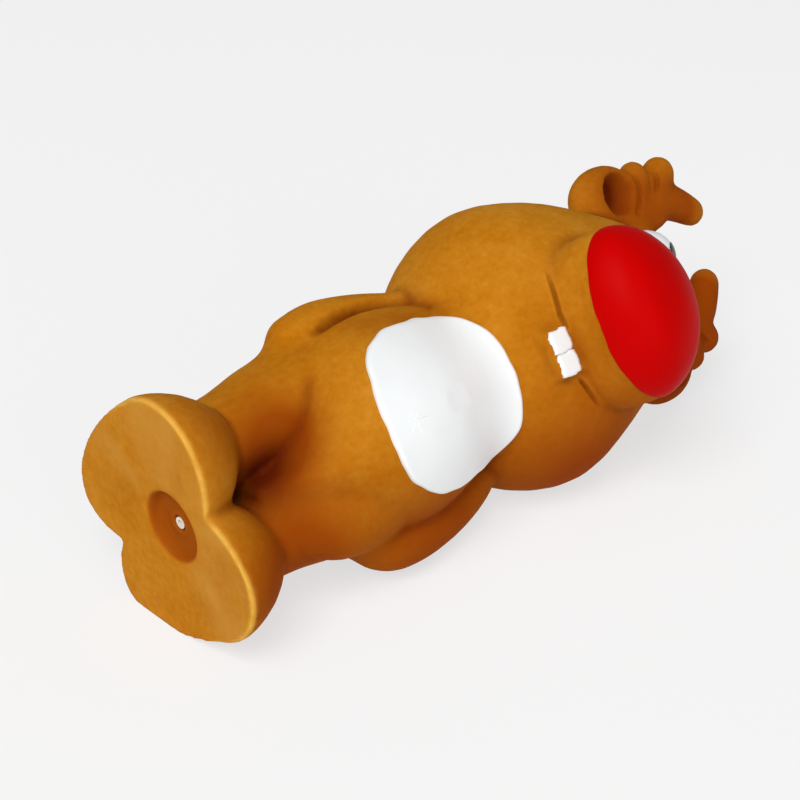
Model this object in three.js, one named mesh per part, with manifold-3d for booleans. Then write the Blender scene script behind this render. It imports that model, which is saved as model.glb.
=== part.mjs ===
// Reindeer dog toy: a hollow latex figure with a squeaker in its soles, lying on its left side.
// The figure is modelled standing: X to its left hand, Y to its back, Z up, its soles at Z zero.
// The groups at the end lay it down. Sizes are in millimetres and angles in degrees.
import * as THREE from "three";
import { mergeVertices } from "three/addons/utils/BufferGeometryUtils.js";
import Module from "manifold-3d";

const wasm = await Module();
wasm.setup();

// The latex skin, the gap where one moulded region meets the next, how far a cut overruns, the size
// of the slivers that are cleared from a cut solid, and how far one cut reaches into the next.
const wall = 2.6;
const seam = 0.3;
const overrun = 2;
const crumb = 0.02;
const graze = 0.03;

// Feet: two shoe shapes on one flat sole, with the squeaker's dish and collar between them.
const foot = {
  offset: 13.6, outer: 16.3, inner: 19.2, front: 18.4, back: 36.2, height: 20.6, toe: 4, splay: 0.07,
};
const dish = { radius: 8.7, taper: 0.8, depth: 2.6, pad: 1.6, hole: 1.9, collar: 1.8, collarHeight: 6 };

// Squeaker: a plastic cup with a nozzle, a reed on a slotted barrel, and a vented cap.
const cup = { radius: 7.4, height: 7.6, shell: 1, nozzle: 1.5, nozzleReach: 2, bore: 0.8 };
const barrel = { radius: 2.6, height: 5, bore: 1.3, flat: 0.9, stop: 0.8 };
const clip = { shell: 0.9, height: 1.2 };
const reed = { width: 3, thickness: 0.35, length: 3, lean: 4 };
const cap = { thickness: 1, vent: 1.2, ring: 4.2, vents: 4 };

// Legs: short columns from the shoes into the hips, leaning outward by the flare, in degrees.
const leg = { offset: 11.2, halfWidth: 10.4, front: 12.2, back: 15, sink: 11, rise: 33, flare: 4 };

// Torso: a pear with the belly forward, which narrows to a V between the legs. Its neck runs on
// inside the head.
const torso = { sink: 2, height: 85.6, halfWidth: 27.1, front: 29.2, back: 25 };

// Head: a wide-jowled pear that sits down over the neck.
const head = { lap: 26, height: 88, halfWidth: 37.7, front: 33.5, back: 33 };

// Snout: an oval drum on the face with a domed end. It widens by the flare at its root, which also
// drops a little. The nose is the dome, past its paint line.
const snout = {
  halfWidth: 22.9, halfHeight: 14.4, reach: 37.5, dome: 16, flare: 1.4, heightShare: 0.427, tilt: 6,
};
const nose = { line: 38.2 };

// Upper teeth, against the face below the snout, a little to the left of the middle.
const tooth = { width: 5.8, height: 5.9, depth: 3.6, corner: 0.6, stand: 4, topShare: 0.277, aside: 1.7 };

// Eyes, side by side on the forehead, and their pupils.
const eye = {
  halfWidth: 7.6, halfDepth: 7.2, halfHeight: 9, offsetShare: 0.19, heightShare: 0.785, frontShare: 0.57,
};
const pupil = { radius: 2.6, thickness: 1.1, up: 30 };

// Ears: cupped lobes on the sides of the head, each scooped from the front.
const ear = { halfWidth: 8.9, halfHeight: 10.7, halfDepth: 6.2, offsetShare: 0.65, heightShare: 0.892 };
const earCup = { halfWidth: 6.2, halfHeight: 7, depth: 5.2 };

// Antlers: a broad palm with two blunt tines outward and a thick tip that bends inward. They start
// a little above the middle of the ears.
const antler = { lift: 3.5, spread: 30, rise: 27.5, palmRadius: 7.2, tineRadius: 4.7, tipRadius: 4.9 };

// Arms: held to the sides, with the hands on the hips. The left one stands out a little more.
const arm = { reachLeft: 27.7, reachRight: 24.8, radius: 8.6, behind: 1, topShare: 0.8, handShare: 0.255 };

// Belly patch: a thin raised pad.
const patch = { halfWidth: 20.8, height: 43, bottomShare: 0.315, thickness: 0.9, steps: 40 };

// How the figure lies: turned over onto its left side, then levelled and set along the row's X.
const lie = { turn: 31.33, pitch: -2.57 };

// Facets round and along each kind of form.
const fine = { around: 32, along: 14 };
const plain = { around: 18, along: 9 };
const small = { around: 12, along: 7 };

const degrees = Math.PI / 180;
const quarter = 90 * degrees;
const closeEnough = 1e-5;
const point = (x, y, z) => new THREE.Vector3(x, y, z);

// Closes a skin over rings of points, from a first point to a last one.
function skin(rings, start, end) {
  const around = rings[0].length;
  const last = rings.length - 1;
  const points = [start, ...rings.flat(), end];
  const at = (row, column) => 1 + row * around + (column % around);
  const faces = [];
  for (let column = 0; column < around; column += 1) {
    faces.push(0, at(0, column + 1), at(0, column));
    for (let row = 0; row < last; row += 1) {
      faces.push(at(row, column), at(row, column + 1), at(row + 1, column));
      faces.push(at(row, column + 1), at(row + 1, column + 1), at(row + 1, column));
    }
    faces.push(at(last, column), at(last, column + 1), points.length - 1);
  }
  const form = new THREE.BufferGeometry().setFromPoints(points);
  form.setIndex(faces);
  form.computeVertexNormals();
  return form;
}

// A ring of points, each given by its angle.
function ringOf(around, place) {
  return Array.from({ length: around }, (_, step) => place((2 * Math.PI * step) / around));
}

// A smooth curve through pairs of shares, read at any place along the first of each pair.
function curveOf(pairShares) {
  const curve = new THREE.SplineCurve(pairShares.map(([along, value]) => new THREE.Vector2(along, value)));
  return (along) => {
    let low = 0;
    let high = 1;
    while (high - low > closeEnough) {
      const middle = (low + high) / 2;
      if (curve.getPoint(middle).x < along) low = middle;
      else high = middle;
    }
    return curve.getPoint(low).y;
  };
}

// A swelling body. Each row of its table holds a height, then the width and depth there.
function pear(sizes, bottom, tableShares, facets) {
  const width = curveOf(tableShares.map(([at, wide]) => [at, wide]));
  const depth = curveOf(tableShares.map(([at, , deep]) => [at, deep]));
  const rings = [];
  for (let level = 1; level < facets.along; level += 1) {
    const along = (level / facets.along + (1 - Math.cos((Math.PI * level) / facets.along)) / 2) / 2;
    const wide = width(along) * sizes.halfWidth;
    const deep = depth(along);
    rings.push(ringOf(facets.around, (angle) => {
      const reach = Math.sin(angle) < 0 ? sizes.front : sizes.back;
      return point(Math.cos(angle) * wide, Math.sin(angle) * deep * reach, bottom + along * sizes.height);
    }));
  }
  return skin(rings, point(0, 0, bottom), point(0, 0, bottom + sizes.height));
}

// A limb along a curve. Its girth follows shares of the given radius.
function limb(stops, radius, girthShares, facets) {
  const path = new THREE.CatmullRomCurve3(stops);
  const girth = curveOf(girthShares);
  const rings = [];
  for (let level = 1; level < facets.along; level += 1) {
    const along = (1 - Math.cos((Math.PI * level) / facets.along)) / 2;
    const centre = path.getPointAt(along);
    const ahead = path.getTangentAt(along);
    const side = point(0, 1, 0).cross(ahead).normalize();
    const over = ahead.clone().cross(side);
    const reach = radius * girth(along);
    rings.push(ringOf(facets.around, (angle) => centre.clone()
      .addScaledVector(side, Math.cos(angle) * reach)
      .addScaledVector(over, Math.sin(angle) * reach)));
  }
  return skin(rings, path.getPointAt(0), path.getPointAt(1));
}

// The same form with every point moved out along its normal.
function grow(form, distance) {
  const grown = form.clone();
  const place = grown.attributes.position;
  const normal = form.attributes.normal;
  for (let index = 0; index < place.count; index += 1) {
    const moved = point().fromBufferAttribute(place, index)
      .addScaledVector(point().fromBufferAttribute(normal, index), distance);
    place.setXYZ(index, moved.x, moved.y, moved.z);
  }
  return grown;
}

// A solid for cutting and joining, from a closed form.
function solid(form) {
  let bare = form.clone();
  bare.deleteAttribute("normal");
  bare.deleteAttribute("uv");
  bare = mergeVertices(bare);
  return new wasm.Manifold(new wasm.Mesh({
    numProp: 3,
    vertProperties: new Float32Array(bare.attributes.position.array),
    triVerts: new Uint32Array(bare.index.array),
  }));
}

// The largest body of a solid, without the crumbs that a grazing cut leaves.
function largest(body) {
  return body.decompose().reduce((best, next) => (next.volume() > best.volume() ? next : best));
}

const join = (bodies) => bodies.reduce((whole, next) => whole.add(next));

// An ellipsoid about the origin.
function ball(halfWidth, halfDepth, halfHeight, facets) {
  return new THREE.SphereGeometry(1, facets.around, facets.along).scale(halfWidth, halfDepth, halfHeight);
}

// A turned form about the Z axis, from a closed outline of radius and height.
function turned(outline, facets) {
  const closed = [...outline, outline[0]].map(([radius, height]) => new THREE.Vector2(radius, height));
  return new THREE.LatheGeometry(closed, facets.around).rotateX(quarter);
}

// An upright round bar between two heights.
function bar(radius, from, to, facets) {
  return new THREE.CylinderGeometry(radius, radius, to - from, facets.around)
    .rotateX(quarter)
    .translate(0, 0, (from + to) / 2);
}

// A shoe: a dome over a sole outline, round at the toe, long at the heel, and splayed.
function shoe(side) {
  const levelShares = [0, 0.05, 0.14, 0.28, 0.45, 0.62, 0.78, 0.9, 0.97];
  const tuckShare = 0.965;
  const roundness = 0.72;
  const rings = levelShares.map((level) => {
    const size = (level === 0 ? tuckShare : 1) * (1 - level ** 2) ** roundness;
    const ring = ringOf(fine.around, (angle) => {
      const out = Math.cos(angle) > 0 ? foot.outer : foot.inner;
      const run = Math.sin(angle) < 0 ? foot.front : foot.back;
      const y = Math.sin(angle) * run * size;
      const x = foot.offset - foot.splay * y + Math.cos(angle) * out * size;
      return point(side * x, y - foot.toe, level * foot.height);
    });
    return side > 0 ? ring : ring.reverse();
  });
  const middle = (height) => point(side * foot.offset, -foot.toe, height);
  return skin(rings, middle(0), middle(foot.height));
}

const legTableShares = [
  [0, 0, 0],
  [0.05, 0.8, 0.8],
  [0.3, 0.97, 0.97],
  [0.62, 1.12, 1.15],
  [0.88, 1.1, 1.15],
  [1, 0, 0],
];

const torsoTableShares = [
  [0, 0, 0],
  [0.05, 0.15, 0.48],
  [0.11, 0.26, 0.65],
  [0.17, 0.4, 0.79],
  [0.23, 0.59, 0.89],
  [0.3, 0.81, 0.965],
  [0.37, 0.93, 0.995],
  [0.46, 0.995, 1],
  [0.56, 0.98, 0.965],
  [0.65, 0.915, 0.89],
  [0.74, 0.825, 0.8],
  [0.84, 0.705, 0.66],
  [0.93, 0.52, 0.47],
  [1, 0, 0],
];

const headTableShares = [
  [0, 0, 0],
  [0.06, 0.6, 0.6],
  [0.18, 0.86, 0.86],
  [0.36, 1, 1],
  [0.55, 0.91, 0.94],
  [0.74, 0.71, 0.79],
  [0.91, 0.46, 0.53],
  [1, 0, 0],
];

const hip = foot.height - torso.sink;
const chin = hip + torso.height - head.lap;
const sides = [-1, 1];
const sideName = (side, piece) => `${side > 0 ? "left" : "right"}_${piece}`;

const shoes = sides.map(shoe);
const legSizes = { ...leg, height: leg.sink + leg.rise };
const legs = sides.map((side) => pear(legSizes, foot.height - leg.sink, legTableShares, plain)
  .rotateY(side * leg.flare * degrees)
  .translate(side * leg.offset, 0, 0));
const torsoForm = pear(torso, hip, torsoTableShares, fine);
const headForm = pear(head, chin, headTableShares, fine);

// Snout: rings that face forward, from inside the head to the dome's end.
function snoutForm() {
  const turns = 8;
  const rootShares = [[0.4, 1], [0.8, 1], [0.87, 0.75], [0.93, 0.35], [1, 0]];
  const ringAt = (size, reach, flare) => ringOf(fine.around, (angle) => point(
    Math.cos(angle) * (snout.halfWidth + flare) * size,
    -reach,
    Math.sin(angle) * (snout.halfHeight + flare) * size - flare,
  ));
  const straight = rootShares.map(([share, flare]) => ringAt(1, share * snout.reach, flare * snout.flare));
  const domed = Array.from({ length: turns - 1 }, (_, index) => {
    const angle = (quarter * (index + 1)) / turns;
    return ringAt(Math.cos(angle), snout.reach + Math.sin(angle) * snout.dome, 0);
  });
  const form = skin(
    [...straight, ...domed],
    point(0, -rootShares[0][0] * snout.reach, 0),
    point(0, -snout.reach - snout.dome, 0),
  );
  return form.rotateX(-snout.tilt * degrees).translate(0, 0, chin + snout.heightShare * head.height);
}
const snoutWhole = snoutForm();

// The air space: every hollow region drawn in by the wall, all joined into one. Solid gussets stay
// in the corners where the two shoes meet, front and back.
const meetShare = Math.sqrt(1 - (foot.offset / foot.inner) ** 2);
const gusset = 3 * wall;
const gussetTop = foot.height / 2;
const gussets = join([-meetShare * foot.front, meetShare * foot.back]
  .map((run) => solid(bar(gusset, 0, gussetTop, small)).translate([0, run - foot.toe, 0])));
const hollowForms = [torsoForm, headForm, snoutWhole, ...shoes, ...legs];
const hollow = join(hollowForms.map((form) => solid(grow(form, -wall)))).subtract(gussets);

// Tools that cut one region clear of the next.
const torsoCut = solid(grow(torsoForm, seam));
const headCut = solid(grow(headForm, seam));
const snoutCut = solid(grow(snoutWhole, seam));
const feetCut = join(shoes.map((form) => solid(grow(form, seam))));
const legCuts = legs.map((form) => solid(grow(form, seam)));

// Materials: amber latex, red, white and black paint, and white plastic.
const finishes = {
  latex: { color: "#b97312", roughness: 0.75, metalness: 0 },
  red: { color: "#d0000a", roughness: 0.4, metalness: 0 },
  white: { color: "#f1f3f4", roughness: 0.35, metalness: 0 },
  black: { color: "#141414", roughness: 0.3, metalness: 0 },
  plastic: { color: "#ece9e0", roughness: 0.45, metalness: 0 },
  film: { color: "#e8dcb8", roughness: 0.3, metalness: 0 },
};

const figure = new THREE.Group();

// Adds a solid to the figure as a named mesh with its own material.
function piece(name, body, finish) {
  const net = largest(body.simplify(crumb)).getMesh();
  const form = new THREE.BufferGeometry();
  form.setAttribute("position", new THREE.BufferAttribute(new Float32Array(net.vertProperties), 3));
  form.setIndex(new THREE.BufferAttribute(new Uint32Array(net.triVerts), 1));
  form.computeVertexNormals();
  const mesh = new THREE.Mesh(form, new THREE.MeshStandardMaterial(finishes[finish]));
  mesh.name = name;
  figure.add(mesh);
}

// Feet: both shoes in one, hollow, with the dish's pad and the collar that grips the squeaker.
const seat = dish.depth + dish.pad;
const pocket = cup.radius + seam;
const collarTop = seat + dish.collarHeight;
const pad = solid(bar(dish.radius + wall, 0, seat, plain));
const collar = solid(bar(pocket + dish.collar, seat - dish.pad / 2, collarTop, plain));
const dishFloor = dish.radius - dish.taper;
const dishCut = solid(new THREE.CylinderGeometry(dishFloor, dish.radius, dish.depth, plain.around)
  .rotateX(quarter)
  .translate(0, 0, dish.depth / 2));
const dishMouth = solid(bar(dish.radius, -overrun, graze, plain));
const feet = join(shoes.map(solid))
  .subtract(hollow)
  .add(pad)
  .add(collar)
  .subtract(dishCut)
  .subtract(dishMouth)
  .subtract(solid(bar(dish.hole, -overrun, seat + overrun, small)))
  .subtract(solid(bar(pocket, seat, seat + cup.height + 2 * seam, plain)));
piece("feet", feet, "latex");

// Legs, torso and head: each is its skin, less the larger regions that it meets.
sides.forEach((side, index) => {
  const body = solid(legs[index]).subtract(torsoCut).subtract(feetCut).subtract(hollow);
  piece(sideName(side, "leg"), body, "latex");
});
piece("torso", solid(torsoForm).subtract(headCut).subtract(feetCut).subtract(hollow), "latex");
piece("head", solid(headForm).subtract(hollow), "latex");

// Muzzle and nose: the snout's skin behind and past the paint line.
const ahead = 2 * (snout.reach + snout.dome);
const block = (gap) => solid(new THREE.BoxGeometry(ahead, ahead, ahead)
  .translate(0, -ahead / 2 - nose.line + gap, 0)
  .rotateX(-snout.tilt * degrees)
  .translate(0, 0, chin + snout.heightShare * head.height));
const snoutSkin = solid(snoutWhole).subtract(hollow);
piece("muzzle", snoutSkin.subtract(headCut).subtract(block(seam)), "latex");
piece("nose", snoutSkin.intersect(block(0)), "red");

// Arms: limbs that swell to the hand, pressed to the torso and the hip.
const armGirthShares = [[0, 0.3], [0.12, 0.62], [0.4, 0.9], [0.7, 1], [0.92, 0.76], [1, 0]];
sides.forEach((side, index) => {
  const reach = side > 0 ? arm.reachLeft : arm.reachRight;
  const top = hip + arm.topShare * torso.height;
  const hand = hip + arm.handShare * torso.height;
  const pathShares = [[0.72, 1], [0.9, 0.7], [1, 0.36], [0.88, 0]];
  const path = pathShares
    .map(([out, up]) => point(side * out * reach, arm.behind, hand + up * (top - hand)));
  const body = solid(limb(path, arm.radius, armGirthShares, plain));
  const trimmed = body.subtract(torsoCut).subtract(headCut).subtract(legCuts[index]);
  piece(sideName(side, "arm"), trimmed, "latex");
});

// Ears: lobes with a scooped front.
const earMiddle = chin + ear.heightShare * head.height;
const earPlace = (side) => [side * ear.offsetShare * head.halfWidth, 0, earMiddle];
const earForm = (extra) => {
  const form = ball(ear.halfWidth + extra, ear.halfDepth + extra, ear.halfHeight + extra, plain);
  return solid(form);
};
sides.forEach((side) => {
  const scoop = solid(ball(earCup.halfWidth, earCup.depth, earCup.halfHeight, plain))
    .translate([side * seam, -ear.halfDepth, 0]);
  const body = earForm(0).subtract(scoop).translate(earPlace(side)).subtract(headCut);
  piece(sideName(side, "ear"), body, "latex");
});

// Antlers: the palm with its tines and tip, cut clear of the head and of the ear.
const palmPathShares = [[0.5, -0.12], [0.55, 0.14], [0.59, 0.43], [0.6, 0.79]];
const lowPathShares = [[0.6, 0.26], [0.8, 0.36], [1.01, 0.46]];
const highPathShares = [[0.6, 0.5], [0.75, 0.65], [0.94, 0.83]];
const tipPathShares = [[0.6, 0.58], [0.5, 0.78], [0.27, 1.09]];
const bluntGirthShares = [[0, 0.75], [0.3, 1], [0.7, 0.99], [0.86, 0.84], [0.96, 0.5], [1, 0]];
sides.forEach((side) => {
  const base = earMiddle + antler.lift;
  const branch = (pathShares, radius) => {
    const path = pathShares
      .map(([out, up]) => point(side * out * antler.spread, 0, base + up * antler.rise));
    return solid(limb(path, radius, bluntGirthShares, small));
  };
  const body = join([
    branch(palmPathShares, antler.palmRadius),
    branch(lowPathShares, antler.tineRadius),
    branch(highPathShares, antler.tineRadius),
    branch(tipPathShares, antler.tipRadius),
  ]);
  const earCut = earForm(seam).translate(earPlace(side));
  piece(sideName(side, "antler"), body.subtract(headCut).subtract(earCut), "latex");
});

// Eyes and pupils: ovals on the forehead, each with a small disc set on its front.
sides.forEach((side) => {
  const place = [
    side * eye.offsetShare * head.halfWidth,
    -eye.frontShare * head.front,
    chin + eye.heightShare * head.height,
  ];
  const whole = solid(ball(eye.halfWidth, eye.halfDepth, eye.halfHeight, plain)).translate(place);
  const grown = solid(ball(eye.halfWidth + seam, eye.halfDepth + seam, eye.halfHeight + seam, plain))
    .translate(place);
  const middle = [
    place[0],
    place[1] - Math.cos(pupil.up * degrees) * eye.halfDepth,
    place[2] + Math.sin(pupil.up * degrees) * eye.halfHeight,
  ];
  const disc = solid(ball(pupil.radius, pupil.thickness, pupil.radius, small)).translate(middle);
  const twin = solid(new THREE.BoxGeometry(ahead, ahead, ahead))
    .translate([-side * (ahead / 2 - seam / 2), place[1], place[2]]);
  piece(sideName(side, "eye"), whole.subtract(headCut).subtract(snoutCut).subtract(twin), "white");
  piece(sideName(side, "pupil"), disc.subtract(grown), "black");
});

// Teeth: two flat slabs with rounded corners, side by side.
sides.forEach((side) => {
  const flat = tooth.width - 2 * tooth.corner - seam / 2;
  const tall = tooth.height - 2 * tooth.corner;
  const outline = new THREE.Shape()
    .moveTo(-flat / 2, -tall / 2)
    .lineTo(flat / 2, -tall / 2)
    .lineTo(flat / 2, tall / 2)
    .lineTo(-flat / 2, tall / 2);
  const slab = new THREE.ExtrudeGeometry(outline, {
    depth: tooth.depth,
    bevelSize: tooth.corner,
    bevelThickness: tooth.corner / 2,
    bevelSegments: 2,
    steps: 1,
  }).rotateX(quarter);
  const top = chin + tooth.topShare * head.height;
  const body = solid(slab)
    .translate([tooth.aside + (side * tooth.width) / 2, -head.front + tooth.stand, top - tooth.height / 2]);
  piece(sideName(side, "tooth"), body.subtract(headCut).subtract(snoutCut), "white");
});

// Belly patch: the torso's skin, raised inside a rounded outline that narrows under the chin.
const patchOutlineShares = [
  [0, 0], [0.42, 0.025], [0.77, 0.14], [0.94, 0.26], [1, 0.42], [0.98, 0.6], [0.92, 0.8], [0.8, 0.95],
  [0.5, 1.02], [0, 1.04],
];
const mirrored = patchOutlineShares.slice(1, -1).reverse().map(([out, up]) => [-out, up]);
const patchLoop = new THREE.CatmullRomCurve3([...patchOutlineShares, ...mirrored].map(([out, up]) => point(
  out * patch.halfWidth,
  hip + patch.bottomShare * torso.height + up * patch.height,
  0,
)), true);
const patchPoints = patchLoop.getPoints(patch.steps).slice(1);
const patchShape = new THREE.Shape(patchPoints.map(({ x, y }) => new THREE.Vector2(x, y)));
const patchDepth = torso.front + overrun;
const patchBlock = new THREE.ExtrudeGeometry(patchShape, { depth: patchDepth, bevelEnabled: false })
  .rotateX(quarter);
const raised = solid(grow(torsoForm, seam + patch.thickness));
piece("belly_patch", raised.intersect(solid(patchBlock)).subtract(torsoCut).subtract(headCut), "white");

// Squeaker housing: a cup on the pad, its nozzle through the hole.
const cupFloor = seat + seam;
const cupTop = cupFloor + cup.height;
const tip = cupFloor - cup.nozzleReach;
piece("squeaker_housing", solid(turned([
  [cup.bore, tip],
  [cup.nozzle, tip],
  [cup.nozzle, cupFloor],
  [cup.radius, cupFloor],
  [cup.radius, cupTop],
  [cup.radius - cup.shell, cupTop],
  [cup.radius - cup.shell, cupFloor + cup.shell],
  [cup.bore, cupFloor + cup.shell],
], plain)), "plastic");

// Squeaker cap: a disc inside the cup's rim, with round vents.
const capBottom = cupTop - cap.thickness;
const vents = Array.from({ length: cap.vents }, (_, index) => {
  const angle = (2 * Math.PI * index) / cap.vents + quarter / 2;
  return solid(bar(cap.vent, capBottom - overrun, cupTop + overrun, small))
    .translate([Math.cos(angle) * cap.ring, Math.sin(angle) * cap.ring, 0]);
});
const lid = solid(bar(cup.radius - cup.shell - seam, capBottom, cupTop, plain));
piece("squeaker_cap", lid.subtract(join(vents)), "plastic");

// Reed barrel: stands over the bore, with one side cut flat so that the bore opens under the reed.
const barrelFoot = cupFloor + cup.shell + seam;
const barrelTop = barrelFoot + barrel.height;
const flatCut = new THREE.BoxGeometry(2 * barrel.radius + overrun, barrel.radius, barrel.height)
  .translate(0, -barrel.flat - barrel.radius / 2, barrelFoot + clip.height + barrel.height / 2);
piece("reed_barrel", solid(bar(barrel.radius, barrelFoot, barrelTop, plain))
  .subtract(solid(bar(barrel.bore, barrelFoot - overrun, barrelTop - barrel.stop, small)))
  .subtract(solid(flatCut)), "plastic");

// Reed clip: a ring round the barrel's foot that holds the reed's root.
const clipInner = barrel.radius + seam;
piece("reed_clip", solid(turned([
  [clipInner, barrelFoot],
  [clipInner + clip.shell, barrelFoot],
  [clipInner + clip.shell, barrelFoot + clip.height],
  [clipInner, barrelFoot + clip.height],
], plain)), "plastic");

// Reed: a thin tongue over the flat, leaning a little away from it.
const reedRoot = barrelFoot + clip.height + seam;
const reedBody = solid(new THREE.BoxGeometry(reed.width, reed.thickness, reed.length)
  .translate(0, -reed.thickness / 2, reed.length / 2)
  .rotateX(reed.lean * degrees)
  .translate(0, -barrel.flat - seam, reedRoot));
piece("squeaker_reed", reedBody, "film");

// Laying down: the front turns up by the lie angle, the left side goes down, the head to +X.
const turnedOver = new THREE.Group();
turnedOver.add(figure);
figure.rotation.z = -lie.turn * degrees;
turnedOver.rotation.y = quarter;
const levelled = new THREE.Group();
levelled.add(turnedOver);
levelled.rotation.y = lie.pitch * degrees;

const toy = new THREE.Group();
toy.add(levelled);
toy.updateMatrixWorld(true);
const box = new THREE.Box3().setFromObject(toy, true);
const middle = box.getCenter(point());
levelled.position.set(-middle.x, -middle.y, -box.min.z);
toy.updateMatrixWorld(true);

export default toy;
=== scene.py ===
# A hollow latex dog toy in the shape of a reindeer, lying on its left side on a pale floor.
# The figure is modelled standing up in millimetres, as its mould is, and then laid down.
import math

import bpy
import numpy as np
from mathutils import Matrix, Vector


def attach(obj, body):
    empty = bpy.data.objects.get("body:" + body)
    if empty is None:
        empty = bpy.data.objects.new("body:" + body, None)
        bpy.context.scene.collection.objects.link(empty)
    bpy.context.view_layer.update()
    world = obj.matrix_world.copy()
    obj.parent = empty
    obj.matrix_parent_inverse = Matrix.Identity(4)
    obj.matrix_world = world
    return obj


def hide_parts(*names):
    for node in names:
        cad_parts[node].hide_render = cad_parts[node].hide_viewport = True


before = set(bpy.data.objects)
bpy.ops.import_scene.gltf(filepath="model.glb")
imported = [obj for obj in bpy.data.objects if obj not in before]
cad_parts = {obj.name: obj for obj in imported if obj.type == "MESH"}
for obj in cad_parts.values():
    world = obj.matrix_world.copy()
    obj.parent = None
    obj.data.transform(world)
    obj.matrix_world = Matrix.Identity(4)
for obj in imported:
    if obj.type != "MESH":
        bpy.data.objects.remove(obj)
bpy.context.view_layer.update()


# The picture: a camera beyond the toy's feet, a large soft lamp overhead on the left, a weak one
# that faces the belly, and a plain pale floor that takes the shadows.
bpy.ops.object.select_all(action="DESELECT")
camera_place = (-0.31675, -0.30041, 0.28727)
camera_turn = (59.442, -0.425, -43.3)
bpy.ops.object.camera_add(location=camera_place, rotation=[math.radians(angle) for angle in camera_turn])
camera = bpy.context.object
camera.data.lens = 90
camera.data.sensor_width = 36
camera.data.clip_start = 0.01
bpy.context.scene.camera = camera

lamps_aim = (0, 0, 0.03)


def soft_lamp(name, place, size, power):
    """A square area lamp that faces the toy."""
    turn = (Vector(lamps_aim) - Vector(place)).to_track_quat("-Z", "Y").to_euler()
    bpy.ops.object.light_add(type="AREA", location=place, rotation=turn)
    lamp = bpy.context.object
    lamp.name = name
    lamp.data.size = size
    lamp.data.energy = power


soft_lamp("overhead_lamp", place=(-1.90, -1.10, 2.50), size=1.7, power=87.0)
soft_lamp("front_lamp", place=(-0.40, -2.60, 0.90), size=1.4, power=12.0)

floor_width = 8
floor_cuts = 7
bpy.ops.mesh.primitive_plane_add(size=floor_width, location=(0, 0, 0))
floor = bpy.context.object
floor.name = "floor"
bpy.ops.object.mode_set(mode="EDIT")
bpy.ops.mesh.subdivide(number_cuts=floor_cuts)
bpy.ops.object.mode_set(mode="OBJECT")

sky_strength = 0.24
backdrop = bpy.data.worlds.new("backdrop")
bpy.context.scene.world = backdrop
backdrop.use_nodes = True
backdrop.node_tree.nodes["Background"].inputs["Color"].default_value = (1, 1, 1, 1)
backdrop.node_tree.nodes["Background"].inputs["Strength"].default_value = sky_strength
bpy.context.scene.view_settings.view_transform = "Standard"


class Shade:
    """One output of a shader node, so that shading can be written as sums."""

    def __init__(self, tree, socket):
        self.tree = tree
        self.socket = socket

    def node(self, kind, settings=None, **inputs):
        """Adds a node: its settings first, then its inputs, by name or as i0, i1 and so on."""
        made = self.tree.nodes.new(kind)
        for key, value in (settings or {}).items():
            if key == "stops":
                ramp = made.color_ramp
                while len(ramp.elements) < len(value):
                    ramp.elements.new(0.5)
                for element, (place, colour) in zip(ramp.elements, value):
                    element.position = place
                    element.color = (*colour, 1)
            else:
                setattr(made, key, value)
        for key, value in inputs.items():
            socket = made.inputs[int(key[1:]) if key[1:].isdigit() else key]
            if isinstance(value, Shade):
                self.tree.links.new(value.socket, socket)
            else:
                socket.default_value = value
        return made

    def out(self, made, output=0):
        return Shade(self.tree, made.outputs[output])

    def maths(self, operation, *terms):
        made = self.tree.nodes.new("ShaderNodeMath")
        made.operation = operation
        for index, term in enumerate(terms):
            if isinstance(term, Shade):
                self.tree.links.new(term.socket, made.inputs[index])
            else:
                made.inputs[index].default_value = term
        return Shade(self.tree, made.outputs[0])

    def __add__(self, other):
        return self.maths("ADD", self, other)

    __radd__ = __add__

    def __sub__(self, other):
        return self.maths("SUBTRACT", self, other)

    def __rsub__(self, other):
        return self.maths("SUBTRACT", other, self)

    def __mul__(self, other):
        return self.maths("MULTIPLY", self, other)

    __rmul__ = __mul__

    def noise(self, scale, detail=3, roughness=0.55):
        """Cloudy noise over this position, about 0 to 1."""
        return self.out(self.node("ShaderNodeTexNoise", i2=scale, i3=detail, i4=roughness, i0=self))

    def blend(self, low, high):
        """A colour that goes from one to another as this value goes from 0 to 1."""
        made = self.node("ShaderNodeMix", {"data_type": "RGBA"}, i0=self)
        for index, colour in ((6, low), (7, high)):
            if isinstance(colour, Shade):
                self.tree.links.new(colour.socket, made.inputs[index])
            else:
                made.inputs[index].default_value = (*colour, 1)
        return self.out(made, 2)

    def steps(self, *stops):
        """This value read through a colour ramp."""
        return self.out(self.node("ShaderNodeValToRGB", {"stops": stops}, i0=self))

    def bump(self, strength, distance):
        """A bumped normal from this height."""
        return self.out(self.node("ShaderNodeBump", i0=strength, i1=distance, Height=self))


def finish_of(name, specular):
    """A new material: its surface shader, and the object's own coordinates in metres."""
    made = bpy.data.materials.new(name)
    made.use_nodes = True
    surface = made.node_tree.nodes["Principled BSDF"]
    surface.inputs["Specular IOR Level"].default_value = specular
    place = made.node_tree.nodes.new("ShaderNodeTexCoord")
    return made, surface, Shade(made.node_tree, place.outputs["Object"])


def feed(surface, socket, value):
    """Links a shade to one of a surface's inputs, or sets a plain value there."""
    if isinstance(value, Shade):
        value.tree.links.new(value.socket, surface.inputs[socket])
    else:
        surface.inputs[socket].default_value = value


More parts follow.
